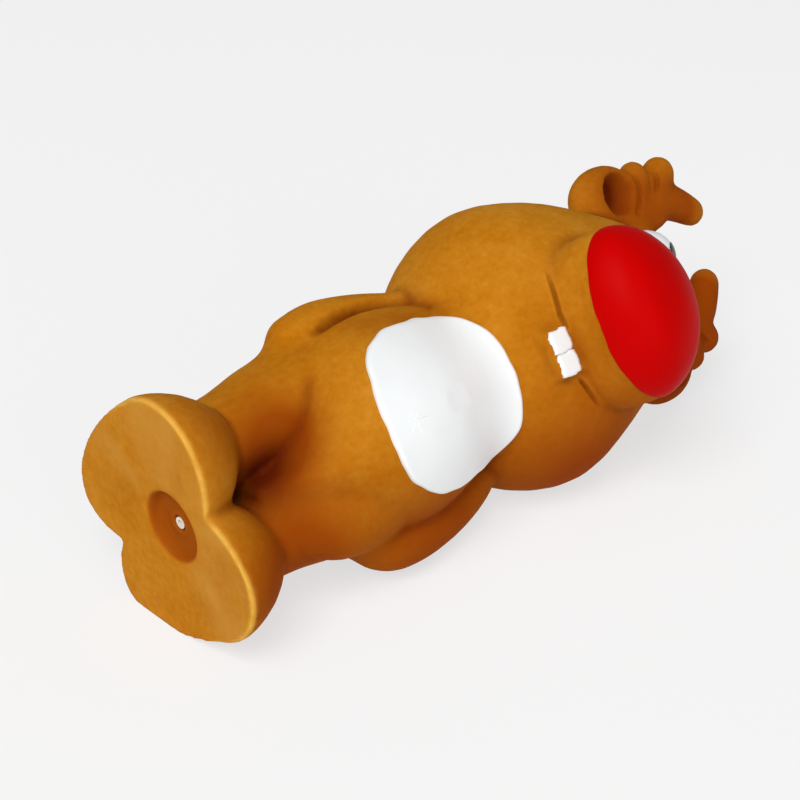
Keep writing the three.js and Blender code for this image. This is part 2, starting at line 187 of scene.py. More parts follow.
# The floor is lit like the toy. What the camera sees of it is mostly its own plain level, with
# the shadows kept faint.
plain_level_share = 0.66
floor_paint, floor_surface, at = finish_of("pale_floor", 0.1)
feed(floor_surface, "Base Color", (0.86, 0.86, 0.86, 1))
feed(floor_surface, "Roughness", 0.9)
plain_level = at.node("ShaderNodeEmission", Color=(1.0, 1.0, 1.0, 1), Strength=1.0)
path = at.node("ShaderNodeLightPath")
seen = at.out(path, "Is Camera Ray") + at.out(path, "Is Glossy Ray") + at.out(path, "Is Transmission Ray")
floor_mix = at.node("ShaderNodeMixShader", i0=seen * plain_level_share)
floor_links = floor_paint.node_tree.links
floor_links.new(floor_surface.outputs[0], floor_mix.inputs[1])
floor_links.new(plain_level.outputs[0], floor_mix.inputs[2])
floor_links.new(floor_mix.outputs[0], floor_paint.node_tree.nodes["Material Output"].inputs["Surface"])
floor.data.materials.append(floor_paint)


# The latex figure: one hollow casting of soft amber latex. Its body, head, limbs, ears, antlers
# and muzzle are blown up one by one as lumps, joined into one skin, and smoothed at the creases.
# Up is +Z, the figure faces -Y, and its own left side is at +X.
def choose(*pieces):
    """Selects only these pieces, and makes the first one active."""
    bpy.ops.object.select_all(action="DESELECT")
    for piece in pieces:
        piece.select_set(True)
    bpy.context.view_layer.objects.active = pieces[0]


def edit_all():
    bpy.ops.object.mode_set(mode="EDIT")
    bpy.ops.mesh.select_mode(type="VERT")
    bpy.ops.mesh.select_all(action="SELECT")


def finish_edit():
    bpy.ops.object.mode_set(mode="OBJECT")


def add_modifier(piece, kind, **settings):
    """Adds a modifier to a piece and applies it."""
    choose(piece)
    modifier = piece.modifiers.new(kind.lower(), kind)
    for key, value in settings.items():
        setattr(modifier, key, value)
    bpy.ops.object.modifier_apply(modifier=modifier.name)


def smooth_rows(rows, count):
    """More rows along a smooth curve through the given ones, closer together near the ends."""
    rows = np.array(rows, float)
    along = np.concatenate(([0], np.cumsum(np.linalg.norm(np.diff(rows, axis=0), axis=1))))
    slope = np.gradient(rows, along, axis=0)
    finer = []
    for spot in (1 - np.cos(np.linspace(0, math.pi, count))) / 2 * along[-1]:
        low = min(np.searchsorted(along, spot, side="right") - 1, len(rows) - 2)
        span = along[low + 1] - along[low]
        share = (spot - along[low]) / span
        square, cube = share**2, share**3
        finer.append(
            (2 * cube - 3 * square + 1) * rows[low] + (cube - 2 * square + share) * span * slope[low]
            + (3 * square - 2 * cube) * rows[low + 1] + (cube - square) * span * slope[low + 1]
        )
    return [[float(value) for value in row] for row in finer]


def lump(name, rings, around=88, count=40):
    """A closed lump through oval rings: (x, y, z, half width, half depth).

    A count of 0 uses the given rings alone.
    """
    rings = smooth_rows(rings, count) if count else rings
    bpy.ops.object.select_all(action="DESELECT")
    start = rings[0]
    bpy.ops.mesh.primitive_circle_add(vertices=around, radius=1, location=start[:3])
    bpy.context.object.name = name
    bpy.ops.object.transform_apply(location=True, rotation=False, scale=False)
    edit_all()
    bpy.ops.transform.resize(value=(start[3], start[4], 1), center_override=start[:3])
    for low, high in zip(rings, rings[1:]):
        step = [above - below for below, above in zip(low[:3], high[:3])]
        bpy.ops.mesh.extrude_region_move(TRANSFORM_OT_translate={"value": step})
        grow = (high[3] / low[3], high[4] / low[4], 1)
        bpy.ops.transform.resize(value=grow, center_override=high[:3])
    bpy.ops.mesh.select_all(action="SELECT")
    bpy.ops.mesh.fill_holes(sides=0)
    bpy.ops.mesh.select_all(action="SELECT")
    bpy.ops.mesh.normals_make_consistent(inside=False)
    finish_edit()
    return bpy.context.object


def finger(name, stops, flat=1.0, capped=True):
    """A round-ended limb along a path: (x, y, z, radius). It is flattened front to back."""
    if capped:
        tip, girth = Vector(stops[-1][:3]), stops[-1][3]
        ahead = (tip - Vector(stops[-2][:3])).normalized()
        cap_shares = ((0.35, 0.93), (0.68, 0.72), (0.92, 0.38), (1.0, 0.05))
        stops = stops + [(*(tip + ahead * girth * far), girth * share) for far, share in cap_shares]
    path = bpy.data.curves.new(name, "CURVE")
    path.dimensions = "3D"
    path.bevel_depth = 1
    path.bevel_resolution = 6
    path.use_fill_caps = True
    path.resolution_u = 12
    spline = path.splines.new("NURBS")
    spline.points.add(len(stops) - 1)
    for spot, stop in zip(spline.points, stops):
        spot.co = (*stop[:3], 1)
        spot.radius = stop[3]
    spline.order_u = 3
    spline.use_endpoint_u = True
    piece = bpy.data.objects.new(name, path)
    bpy.context.collection.objects.link(piece)
    choose(piece)
    bpy.ops.object.convert(target="MESH")
    piece = bpy.context.object
    edit_all()
    bpy.ops.mesh.remove_doubles(threshold=0.01)
    bpy.ops.mesh.normals_make_consistent(inside=False)
    bpy.ops.transform.resize(value=(1, flat, 1), center_override=stops[0][:3])
    finish_edit()
    return piece


def oval_ball(half_sizes, middle, around, rows):
    """A ball that is stretched to its half sizes and put in its place."""
    bpy.ops.object.select_all(action="DESELECT")
    bpy.ops.mesh.primitive_uv_sphere_add(segments=around, ring_count=rows, radius=1)
    edit_all()
    bpy.ops.transform.resize(value=half_sizes)
    bpy.ops.transform.translate(value=middle)
    finish_edit()
    return bpy.context.object


lumps = []

# Torso and head. The torso narrows to a V between the legs.
lumps.append(lump("torso_lump", [
    (2.0, -2.6, 19.0, 3.0, 8.0),
    (2.2, -2.6, 23.0, 4.4, 12.6),
    (2.2, -2.5, 28.0, 6.9, 17.2),
    (1.6, -2.4, 33.0, 10.4, 21.4),
    (0.6, -2.3, 38.0, 15.7, 24.2),
    (0, -2.2, 44.0, 21.8, 26.3),
    (0, -2.1, 50.0, 25.2, 27.2),
    (0, -2.0, 58.0, 27.0, 27.3),
    (0, -1.9, 66.0, 26.6, 26.5),
    (0, -1.8, 74.0, 24.8, 24.4),
    (0, -1.7, 82.0, 22.4, 21.8),
    (0, -1.5, 90.0, 19.4, 18.4),
    (0, -1.3, 97.0, 15.6, 14.4),
    (0, -1.2, 104.0, 9.0, 8.0),
]))
lumps.append(lump("head_lump", [
    (0, -0.2, 78.2, 3.0, 3.0),
    (0, -0.2, 79.6, 14.0, 12.5),
    (0, -0.2, 83.3, 22.9, 20.4),
    (0, -0.2, 93.8, 32.6, 28.8),
    (0, -0.2, 109.7, 37.8, 33.4),
    (-0.4, -0.2, 126.4, 34.0, 31.4),
    (0, -0.2, 143.1, 26.0, 26.2),
    (0, -0.2, 158.1, 16.3, 17.2),
    (0, -0.2, 164.4, 8.0, 8.4),
    (0, -0.2, 166.0, 1.5, 1.5),
]))

# The snout: a lump that stands out from the face and tips up a little. It is narrower at its root,
# on the right more than on the left, and its domed end is the one that is painted as the nose.
snout_middle = (0, 0, 115.8)
snout_tilt = math.radians(84)
snout_crown = 1.49
snout_rings = [
    (0, -1.6, 12, 23.0, 14.6),
    (0, -1.6, 27, 23.2, 14.8),
    (0, -1.3, 30.5, 23.2, 14.7),
    (0, -0.8, 33, 23.0, 14.4),
    (0, -0.3, 35, 22.7, 13.9),
    (0, 0, 36.8, 22.3, 13.4),
    (0, 0, 39, 21.9, 13.2),
    (0, 0, 40.8, 21.4, 12.9),
    (0, 0, 43.6, 19.6, 11.8),
    (0, 0, 46.5, 16.4, 9.9),
    (0, 0, 48.6, 12.3, 7.4),
    (0, 0, 50.1, 7.5, 4.5),
    (0, 0, 50.7, 3.5, 2.1),
    (0, 0, 50.8, 0.8, 0.5),
]
root_height = 28
root_fade = 8
right_narrower_share = 0.09
left_narrower_share = 0.03


def face_forward(piece):
    """Swells the upper half of a lump, then turns it to face forward and puts it on the face."""
    for spot in piece.data.vertices:
        spot.co.y *= snout_crown if spot.co.y > 0 else 1
    piece.data.transform(Matrix.Translation(snout_middle) @ Matrix.Rotation(snout_tilt, 4, "X"))
    return piece


snout = lump("snout_lump", snout_rings)
for spot in snout.data.vertices:
    root = 1 - min(max((spot.co.z - root_height) / root_fade, 0), 1)
    spot.co.x *= 1 - root * (right_narrower_share if spot.co.x < 0 else left_narrower_share)
lumps.append(face_forward(snout))

# Legs and shoes, right and left. Each leg has its own shift outward and back. Each shoe is a dome
# that is pulled out to its own sole: how far it reaches outward, forward and back, and its splay.
shoe_middle = 13.7
shoe_inner = 19.6
ankle_y = -4
for side, out, set_back, outer, front, back, splay in (
    (-1, 0.5, 2.4, 17.5, 18.0, 38.2, 0.09),
    (1, -0.3, 0.9, 15.9, 18.3, 37.5, 0.01),
):
    lumps.append(lump("leg_lump", [
        (side * (11.8 + out), set_back, 9, 2.0, 2.0),
        (side * (11.8 + out), set_back, 11, 8.4, 11.0),
        (side * (11.8 + out), set_back, 16, 10.2, 13.6),
        (side * (12.0 + out), set_back, 26, 11.2, 15.2),
        (side * (13.0 + out), set_back, 37, 12.2, 16.2),
        (side * (14.0 + out), set_back, 45, 11.8, 15.0),
        (side * (14.2 + out), set_back, 51, 8.4, 10.6),
        (side * (14.2 + out), set_back, 54, 1.5, 1.5),
    ]))
    shoe = lump("shoe_lump", [
        (0, 0, -0.1, 0.985, 0.985),
        (0, 0, 0.5, 1.0, 1.0),
        (0, 0, 1.5, 0.998, 0.998),
        (0, 0, 4.0, 0.968, 0.968),
        (0, 0, 6.5, 0.916, 0.916),
        (0, 0, 10.0, 0.818, 0.818),
        (0, 0, 13.4, 0.680, 0.680),
        (0, 0, 16.8, 0.500, 0.500),
        (0, 0, 19.0, 0.303, 0.303),
        (0, 0, 20.4, 0.130, 0.130),
        (0, 0, 20.9, 0.03, 0.03),
    ], around=72, count=0)
    for spot in shoe.data.vertices:
        x, y, z = spot.co
        run = y * (back if y > 0 else front)
        aside = shoe_middle + x * (outer if x > 0 else shoe_inner) - splay * run
        spot.co = (side * aside, run + ankle_y, z)
    if side < 0:
        # The right shoe is mirrored, which turns its faces in, so they are turned out again.
        edit_all()
        bpy.ops.mesh.normals_make_consistent(inside=False)
        finish_edit()
    lumps.append(shoe)

# The left thigh runs into the belly.
lumps.append(finger("thigh_lump", [
    (6, -3, 14, 3.5),
    (8.5, -6, 21, 7.5),
    (11, -8.2, 29, 10.4),
    (13, -8.6, 37, 12.6),
    (14, -7.5, 46, 12),
]))

# Arms, pressed to the sides, right and left. The left one stands out a little more.
lumps.append(finger("arm_lump", [
    (-13.0, 1.0, 99, 1.0),
    (-16.5, 1.5, 94, 4.2),
    (-19.6, 2.0, 86, 6.2),
    (-20.4, 2.0, 79, 7.1),
    (-22.2, 2.0, 72, 7.8),
    (-23.7, 2.0, 65, 8.3),
    (-24.7, 2.0, 58, 8.7),
    (-24.6, 2.0, 50.8, 8.0),
]))
lumps.append(finger("arm_lump", [
    (14.0, 0.0, 97, 1.0),
    (18.0, 0.0, 92, 4.6),
    (23.0, 0.0, 84, 7.2),
    (25.5, -0.4, 75, 8.3),
    (26.9, -0.8, 67, 8.6),
    (27.4, -1.4, 59, 8.8),
    (26.8, -2.0, 52, 8.7),
    (24.6, -2.0, 47, 7.6),
]))

# Teeth root: the raised block of latex that the painted teeth stand on.
block_size = (12.4, 7.0, 8.4)
block_place = (1.5, -29.5, 100.0)
block_rounding = 0.9
bpy.ops.object.select_all(action="DESELECT")
bpy.ops.mesh.primitive_cube_add(size=1)
block = bpy.context.object
edit_all()
bpy.ops.transform.resize(value=block_size)
bpy.ops.mesh.bevel(offset=block_rounding, segments=3)
bpy.ops.transform.translate(value=block_place)
finish_edit()
lumps.append(block)

# Ears, right and left: rounded lobes. The left one sits lower.
ear_half_sizes = (9, 6.2, 11.6)
for ear_middle in ((-24.5, 0, 159.4), (24.6, 0, 155.8)):
    lumps.append(oval_ball(ear_half_sizes, ear_middle, around=32, rows=20))

# Antlers, right and left: a flat palm with two blunt tines outward and a thicker tip that bends
# inward. Each limb has its thickness as a share of its width, and its path.
for thickness_share, stops in (
    (0.58, [(-14.5, 0, 155, 6.0), (-16.5, 0, 165, 7.2), (-17.6, 0, 173, 7.8), (-18, 0, 178.5, 6.9)]),
    (0.95, [(-11, 0, 166.5, 3.6), (-18, 0, 168.8, 4.7), (-24, 0, 171.6, 4.9), (-26.2, 0, 172.8, 4.5)]),
    (0.95, [(-12, 0, 172.5, 3.6), (-18, 0, 176, 5.0), (-22, 0, 180, 5.2), (-24.2, 0, 182.2, 4.8)]),
    (0.9, [(-18, 0, 175, 5.4), (-17, 0, 180, 5.5), (-14, 0, 184.5, 4.9), (-10.6, 0, 188.4, 4.2)]),
    (0.58, [(14.5, 0, 154, 6.0), (16.5, 0, 162.5, 7.0), (17.8, 0, 169.5, 7.4), (18, 0, 174.5, 6.4)]),
    (0.95, [(11, 0, 162.5, 3.6), (18, 0, 165, 4.6), (23, 0, 167.6, 4.7), (25.2, 0, 168.4, 4.4)]),
    (0.95, [(12, 0, 168.5, 3.6), (18, 0, 171.5, 4.9), (21, 0, 174.6, 4.9), (22.6, 0, 175.8, 4.6)]),
    (0.9, [(18, 0, 172, 5.4), (16.2, 0, 176.6, 5.4), (13, 0, 180.4, 4.9), (9.4, 0, 183.6, 4.4)]),
):
    lumps.append(finger("antler_lump", stops, thickness_share))

# One skin over all the lumps, with a hollow pushed into the front of each ear.
hollow_half_sizes = (6.9, 6.4, 7.4)
ear_hollows = ((-24.2, -6.4, 162.6), (24.2, -6.4, 158.8))
choose(*lumps)
bpy.ops.object.join()
skin = bpy.context.object
skin.name = "latex_skin"
add_modifier(skin, "REMESH", mode="VOXEL", voxel_size=0.84)
for hollow_middle in ear_hollows:
    scoop = oval_ball(hollow_half_sizes, hollow_middle, around=48, rows=32)
    add_modifier(skin, "BOOLEAN", operation="DIFFERENCE", object=scoop, solver="EXACT")
    bpy.data.objects.remove(scoop)
add_modifier(skin, "SMOOTH", factor=0.5, iterations=4)


def soften(piece, passes, *spots):
    """Melts the creases round some spots: (x, y, z, reach)."""
    group = piece.vertex_groups.new(name="soft")
    for point in piece.data.vertices:
        nearest = min((point.co - Vector(spot[:3])).length / spot[3] for spot in spots)
        if nearest < 1:
            group.add([point.index], (1 - nearest**2) ** 2, "REPLACE")
    add_modifier(piece, "SMOOTH", factor=0.5, iterations=passes, vertex_group="soft")
    piece.vertex_groups.clear()


# The right hand melts into the belly, and so does the whole left thigh.
soften(
    skin, 160,
    (-26.5, 2, 40.3, 8), (-24.6, -5, 41.7, 9), (-22.4, -8.4, 44.5, 9), (-24.8, -6.2, 48, 7),
    (6, -13, 23.5, 8), (10, -14, 30, 11), (14.4, -15, 37, 12), (19.2, -13, 43, 12),
    (24.5, -5, 43, 9), (27, 2, 40, 8),
)
# At the back, the legs run into the seat.
soften(skin, 90, (-14.5, 15, 46, 14), (14, 13, 46, 14), (-25.5, 5, 44, 9), (0, 20, 38, 12))
# The ears' hollows have rounded rims.
soften(skin, 30, *((x, -3, z, 13) for x, _, z in ear_hollows))
# The snout's upper right corner runs softly into the face.
soften(skin, 30, (-22, -29, 112.4, 8), (-22.5, -28.8, 117, 9), (-21, -27, 124, 10))
# The neck's valley is filled where the belly patch crosses it.
soften(
    skin, 480,
    (-14, -17.5, 84.5, 9), (-7, -20.5, 85, 12), (0, -22, 85.3, 13), (7, -20.5, 85, 12), (14, -17.5, 84.5, 9),
)

carved = []
far_away = 99.0
line_margin = 6
crease_steps = 12
widest_thin_crease = 1
lip_share = 0.15


def rows_of(parts, name):
    """A vector of each point or face of a mesh, as rows of x, y, z."""
    rows = np.empty(3 * len(parts))
    parts.foreach_get(name, rows)
    return rows.reshape(-1, 3)


def reach_of(spots, line):
    """For each spot: how far the nearest point of a line is, and the line's share there."""
    far, share = np.full(len(spots), far_away), np.zeros(len(spots))
    lowest = line[:, :3].min(axis=0) - line_margin
    highest = line[:, :3].max(axis=0) + line_margin
    near = np.all((spots > lowest) & (spots < highest), axis=1)
    gaps = np.linalg.norm(spots[near][:, None, :] - line[None, :, :3], axis=2)
    far[near] = gaps.min(axis=1)
    share[near] = line[gaps.argmin(axis=1), 3]
    return far, share


def carve(piece, width, depth, path):
    """Presses a crease with soft lips into the front of a piece: (x, z, share of the depth).

    Where the crease is a thin one, the faces near it are divided first.
    """
    marks = []
    for x, z, share in path:
        place = piece.ray_cast(Vector((x, -80, z)), Vector((0, 1, 0)))[1]
        marks.append((*place, share))
    marks = np.array(marks)
    steps = np.linspace(0, 1, crease_steps + 1)[:-1, None]
    line = np.concatenate([low + steps * (high - low) for low, high in zip(marks, marks[1:])])
    carved.append((line, width))
    if width < widest_thin_crease:
        choose(piece)
        bpy.ops.object.mode_set(mode="EDIT")
        bpy.ops.mesh.select_mode(type="FACE")
        bpy.ops.mesh.select_all(action="DESELECT")
        finish_edit()
        far = reach_of(rows_of(piece.data.polygons, "center"), line)[0]
        piece.data.polygons.foreach_set("select", far < 2.2 * width + 0.7)
        bpy.ops.object.mode_set(mode="EDIT")
        bpy.ops.mesh.subdivide(number_cuts=2)
        finish_edit()
    spots = rows_of(piece.data.vertices, "co")
    far, share = reach_of(spots, line)
    lips = lip_share * np.exp(-((far - 2 * width) / width) ** 2)
    lift = share * depth * (lips - np.exp(-((far / width) ** 2)))
    spots += lift[:, None] * rows_of(piece.data.vertices, "normal")
    piece.data.vertices.foreach_set("co", spots.ravel())
    piece.data.update()


# The mouth: two thin creases that run from the teeth under the snout and fade out.
carve(skin, 0.42, 1.0, [
    (-17.8, 106.9, 0), (-14, 105.4, 0.8), (-10.4, 104.2, 1), (-7, 103.3, 0.9), (-3.5, 102.9, 0.6),
])
carve(skin, 0.42, 1.0, [(7, 100.6, 0.6), (11.1, 103.0, 1), (15.2, 104.9, 0.8), (18.6, 106.9, 0)])
# Creases between each ear and its antler, and between the antler's tines.
carve(skin, 0.8, 0.9, [
    (-28.0, 169.6, 0), (-26.5, 170.0, 0.5), (-24.5, 170.0, 0.9), (-22.3, 169.4, 1), (-19.3, 167.6, 1),
    (-17.1, 165.9, 0.5),
])
carve(skin, 0.75, 0.9, [
    (-26.2, 177.9, 0), (-24.8, 177.9, 0.6), (-23.4, 177.4, 0.9), (-21.5, 176.2, 0.7), (-19.4, 174.5, 0),
])
carve(skin, 0.8, 0.9, [
    (26.9, 165.7, 0), (25.2, 166.1, 0.7), (22.3, 165.2, 1), (19.3, 163.6, 1), (17.1, 162.0, 0.5),
])
carve(skin, 0.75, 0.9, [(24.6, 172.5, 0), (23.2, 172.6, 0.8), (21.5, 171.8, 0.7), (19.4, 170.4, 0)])
# A soft furrow between the right arm and the belly.
carve(skin, 1.5, 1.5, [
    (-26.4, 50.3, 0), (-26.6, 53.8, 0.5), (-27.2, 61.2, 1), (-27.0, 66.2, 1), (-26.0, 72.2, 0.8),
    (-24.9, 77.9, 0.5), (-23.6, 82.8, 0),
])

# The soles: the dish that holds the squeaker's nozzle, with a hole through to its pocket.
dish_tool = lump("dish_tool", [
    (0, 0, -1.5, 10.2, 10.2),
    (0, 0, -0.35, 9.9, 9.9),
    (0, 0, 0.1, 9.2, 9.2),
    (0, 0, 0.6, 8.75, 8.75),
    (0, 0, 1.6, 8.35, 8.35),
    (0, 0, 2.3, 8.05, 8.05),
    (0, 0, 2.62, 7.5, 7.5),
    (0, 0, 2.6, 3.5, 3.5),
    (0, 0, 2.35, 3.1, 3.1),
    (0, 0, 2.15, 2.6, 2.6),
    (0, 0, 2.3, 2.15, 2.15),
    (0, 0, 2.6, 1.9, 1.9),
    (0, 0, 4.2, 1.9, 1.9),
    (0, 0, 4.22, 7.7, 7.7),
    (0, 0, 12.4, 7.7, 7.7),
], around=64, count=0)
add_modifier(skin, "BOOLEAN", operation="DIFFERENCE", object=dish_tool, solver="EXACT")
bpy.data.objects.remove(dish_tool)


# Laying down: the standing figure turns about its own height, which will tip its front up, then goes
# over onto its left side, is levelled by the pitch, and is set on the floor.
lie_turn = 31.33
lie_pitch = -2.57
lie_place = (-95.04196, 7.80002, 31.04806)
over = Matrix.Rotation(math.radians(90 + lie_pitch), 4, "Y")
lie = Matrix.Translation(lie_place) @ over @ Matrix.Rotation(math.radians(-lie_turn), 4, "Z")
in_metres = Matrix.Scale(0.001, 4)


def lay_down(piece, body, nodes):
    """Puts a finished piece in its place in metres, and says what it stands for."""
    piece.data.transform(in_metres @ lie)
    choose(piece)
    bpy.ops.object.shade_smooth()
    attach(piece, body)
    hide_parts(*nodes)


def stand_out(piece, passes):
    """How far each point stands out from a smoothed copy of the piece, in millimetres."""
    copy = piece.copy()
    copy.data = piece.data.copy()
    bpy.context.collection.objects.link(copy)
    add_modifier(copy, "SMOOTH", factor=0.5, iterations=passes)
    moved = rows_of(piece.data.vertices, "co") - rows_of(copy.data.vertices, "co")
    bpy.data.objects.remove(copy)
    return (moved * rows_of(piece.data.vertices, "normal")).sum(axis=1)


def keep(piece, name, values):
    """Stores one value for each point of a piece, for its material."""
    layer = piece.data.attributes.new(name, "FLOAT", "POINT")
    layer.data.foreach_set("value", np.ascontiguousarray(values, dtype=np.float32))


def ease(values, low, high):
    """A soft step from 0 at low to 1 at high."""
    share = np.clip((values - low) / (high - low), 0, 1)
    return share * share * (3 - 2 * share)


def shade_spot(spots, middle, reach, strength):
    """How strong a soft round spot of painted shade is at each spot."""
    return strength * np.exp(-(np.linalg.norm(spots - middle, axis=1) / reach) ** 2)


# What the casting shows: creases, hollows and the dish in deeper, redder painted shade, and more
# painted shade over much of its lower side; sole edges pale from wear and from a painted highlight;
# and dust on the soles in sectors round the dish, with painted light on their facets.
spots = rows_of(skin.data.vertices, "co")
x, y, z = spots.T
from_dish = np.hypot(x, y)
edge = stand_out(skin, 24)
fine = stand_out(skin, 9)
broad = stand_out(skin, 420)
# The sunken dish on each sole: it gets painted shade of its own, in place of the crease and hollow shade.
dish = ease(-from_dish, -9.6, -8.6) * ease(-z, -5, -3)
keep(skin, "dish", dish)
widest_mouth_crease = 0.5
mouth_crease_shade = 0.45
furrow_crease_shade = 0.26
# Painted shade, darker and redder, in fine creases and along the carved creases, but not in the dish.
crease = np.clip(-fine, 0, 2) * (1 - dish)
for line, width in carved:
    far, share = reach_of(spots, line)
    line_shade = (mouth_crease_shade if width < widest_mouth_crease else furrow_crease_shade) * share
    crease = np.maximum(crease, line_shade * np.exp(-((far / width / 1.1) ** 2)))
# More painted shade deep in the crotch and in the ears' hollows.
for middle, reach, strength in (
    ((-1.5, -9, 21), 8, 0.42),
    ((-5, -10, 25), 6, 0.14),
    ((-25.5, -0.5, 159.6), 4.2, 0.6),
    ((25.5, -0.5, 156), 4.2, 0.6),
):
    crease += shade_spot(spots, middle, reach, strength)
keep(skin, "crease", crease)
# Painted shade in broad hollows, such as between the legs and the belly.
keep(skin, "hollow", np.clip(-broad, 0, 8) * (1 - dish))
on_soles = ease(-z, -3.2, -0.8)
# The soles' front edges: pale, partly from wear and partly as a painted highlight.
keep(skin, "worn", ease(edge, 0.20, 0.50) * on_soles * ease(-y, -8, 2) * ease(from_dish, 11, 14))
# Painted shade, darker and redder: over the left side, which lies on the floor, round the crotch and legs, on
# the left arm, under the snout and on the head's lower left, on the shoes, in and round the ears, on the
# antlers and under their tips, and beside the right arm. None on the soles.
rust = 0.5 * ease(x, -10, 30)
for middle, reach, strength in (
    ((-5, -11, 27), 11, 1.0),
    ((-13, -8, 30), 10, 0.35),
    ((-8, -8, 30), 10, 0.4),
    ((17, -12, 24), 13, 0.6),
    ((28, -6, 60), 20, 0.6),
    ((0, -33, 108), 15, 0.25),
    ((31, -14, 108), 24, 0.45),
    ((-18, -16, 11), 12, 0.55),
    ((20, -18, 11), 13, 0.55),
    ((-24.3, -3, 160), 11, 0.8),
    ((24.3, -3, 156.5), 11, 0.8),
    ((-17, -2, 173), 14, 0.7),
    ((17, -2, 169), 14, 0.7),
    ((-21, -13, 60), 6, 0.45),
    ((-19, -15, 69), 6, 0.4),
    ((-17, -17, 78), 6, 0.3),
    ((-13, -3, 181), 10, 0.9),
    ((13, -3, 176), 10, 0.9),
):
    rust += shade_spot(spots, middle, reach, strength)
keep(skin, "rust", np.clip(rust, 0, 1) * ease(z, 0.2, 1.5))
# On the soles: dust, and painted light on the facets round the dish, paler in a band at the toes and in a
# wedge at the heel.
turn = np.degrees(np.arctan2(x, -y))
sectors = 0.5 + 0.3 * np.sin(np.radians(5 * turn + 40)) + 0.2 * np.sin(np.radians(11 * turn))
toe_band = ease(-y, -6, 6) * ease(from_dish, 8, 12)
heel_wedge = np.exp(-((turn + 118) / 10) ** 2) * ease(from_dish, 9, 16)
dust = 0.75 * toe_band * (0.45 + 0.55 * sectors) + 0.5 * heel_wedge + 0.12 * sectors
keep(skin, "dust", ease(-z, -1.6, -0.2) * np.clip(dust, 0, 1))

latex, latex_surface, at = finish_of("amber_latex", 0.05)
feed(latex_surface, "Subsurface Weight", 0.25)
feed(latex_surface, "Subsurface Radius", (1.0, 0.25, 0.04))
feed(latex_surface, "Subsurface Scale", 0.004)


def kept(name):
    return at.out(at.node("ShaderNodeAttribute", {"attribute_name": name}), "Fac")


dark_amber = (0.470, 0.152, 0.002)
amber = (0.550, 0.202, 0.008)
light_amber = (0.620, 0.260, 0.022)
# The colour of the painted shade patches.
shade_patch_red = (0.30, 0.050, 0.0004)
hollow_shade_red = (0.26, 0.040, 0.0004)
# The colour of the painted shade in creases.
crease_shade_red = (0.12, 0.012, 0.0)
dish_shade_brown = (0.34, 0.070, 0.002)
dusty_and_lit_amber = (0.61, 0.29, 0.045)
worn_and_highlit_amber = (0.80, 0.47, 0.08)
cloud = at.noise(45, 4, 0.62)
patchy = at.noise(17, 3, 0.5)
fleck = at.noise(520, 2, 0.6)
tone = 0.5 * cloud + 0.25 * patchy + 0.25 * fleck
tone = tone.steps((0.38, dark_amber), (0.50, amber), (0.62, light_amber))
# Painted shade in patches, mottled at random.
tone = (kept("rust") * (0.65 + 0.7 * patchy)).blend(tone, shade_patch_red)
# Painted shade in broad hollows, mottled at random.
tone = (kept("hollow") * 0.34 + (cloud - 0.5) * 0.3).blend(tone, hollow_shade_red)
# Painted shade in the creases.
tone = (kept("crease") * 2.2).blend(tone, crease_shade_red)
# Painted shade, darker brown, over the sunken dish.
tone = (kept("dish") * 0.95).blend(tone, dish_shade_brown)
# Dust and painted light on the soles.
tone = (kept("dust") * (0.15 + 1.1 * at.noise(110, 3, 0.6))).blend(tone, dusty_and_lit_amber)
# Pale sole edges: wear and a painted highlight.
tone = (kept("worn") * (0.5 + 0.6 * at.noise(200, 3, 0.6))).blend(tone, worn_and_highlit_amber)
feed(latex_surface, "Base Color", tone)
feed(latex_surface, "Roughness", 0.74 + 0.14 * cloud)
feed(latex_surface, "Normal", (0.6 * fleck + 0.4 * at.noise(90, 3)).bump(0.18, 0.0004))
skin.data.materials.clear()
skin.data.materials.append(latex)

# Where the soft skin would sink into the floor, it is pressed flat against it.
off_the_floor = Vector(lie[2][:3])
for spot in skin.data.vertices:
    sunk = -(lie @ spot.co).z
    if sunk > 0:
        spot.co += sunk * off_the_floor
lay_down(skin, "figure", [
    "feet", "left_leg", "right_leg", "torso", "left_arm", "right_arm",
    "head", "muzzle", "left_ear", "right_ear", "left_antler", "right_antler",
])


# The nose: the snout's domed end under a coat of satin red paint. The coat is brushed on, and
# ends in a wavy edge a little past the bend of the dome.
nose_stand = 0.3
nose_start = 39
nose_rings = [(x, y, z, width + nose_stand, depth + nose_stand) for x, y, z, width, depth in snout_rings]
nose = face_forward(lump("red_nose", nose_rings, around=96, count=70))
forward = Vector((0, -math.sin(snout_tilt), math.cos(snout_tilt)))
paint_line = Vector(snout_middle) + forward * nose_start
edit_all()
bpy.ops.mesh.bisect(plane_co=paint_line, plane_no=forward, clear_inner=True, use_fill=False)
finish_edit()
for spot in nose.data.vertices:
    depth = (spot.co - paint_line).dot(forward)
    turn = math.atan2(spot.co.z - paint_line.z, spot.co.x)
    wave = 0.22 * math.sin(3 * turn + 0.6) + 0.16 * math.sin(7 * turn) + 0.08 * math.sin(17 * turn)
    spot.co += forward * wave * math.exp(-depth / 1.5)
add_modifier(nose, "SOLIDIFY", thickness=0.5, offset=-1)
red, red_surface, at = finish_of("red_paint", 0.03)
coat = at.noise(42, 3)
feed(red_surface, "Base Color", coat.steps((0.3, (0.50, 0.0, 0.0)), (0.7, (0.58, 0.0, 0.0))))
feed(red_surface, "Roughness", 0.42 + 0.14 * coat)
feed(red_surface, "Normal", at.noise(420, 2).bump(0.05, 0.0003))
nose.data.materials.append(red)
lay_down(nose, "figure", ["nose"])


